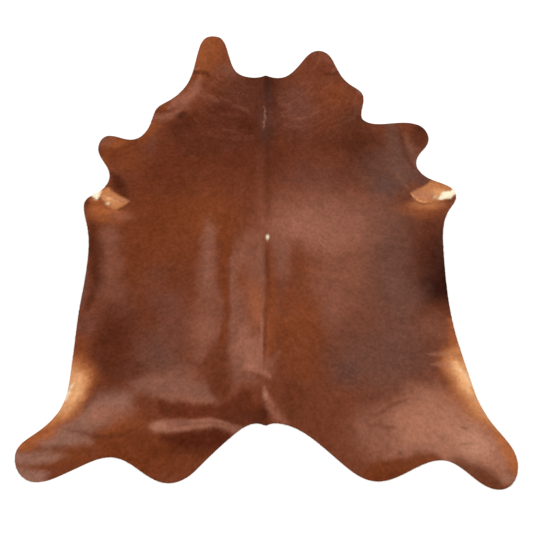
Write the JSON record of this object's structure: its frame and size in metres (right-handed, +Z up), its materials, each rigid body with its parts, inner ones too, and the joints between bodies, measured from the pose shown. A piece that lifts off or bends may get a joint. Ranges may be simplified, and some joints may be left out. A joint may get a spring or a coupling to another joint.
{
  "type": "cowhide rug",
  "caption": "Whole hair-on cowhide laid flat as a floor rug: one thin sheet with the hide's natural outline of ears, legs, flanks and rump, and its few soft folds.",
  "frame": {"origin": "below the middle of the hide's bounding box, on the surface that it lies on", "axes": "+Z up through the thin sheet, towards the hair side; +Y along the backbone from the tail to the neck; +X across the hide"},
  "size_m": [2.076, 2.228, 0.0209],
  "materials": {
    "hide": "short red-brown hair lying flat, satin sheen, cream at the elbows, tan at the flanks; pale suede underside"
  },
  "bodies": {
    "root": {"hide": "hide"}
  },
  "joints": []
}
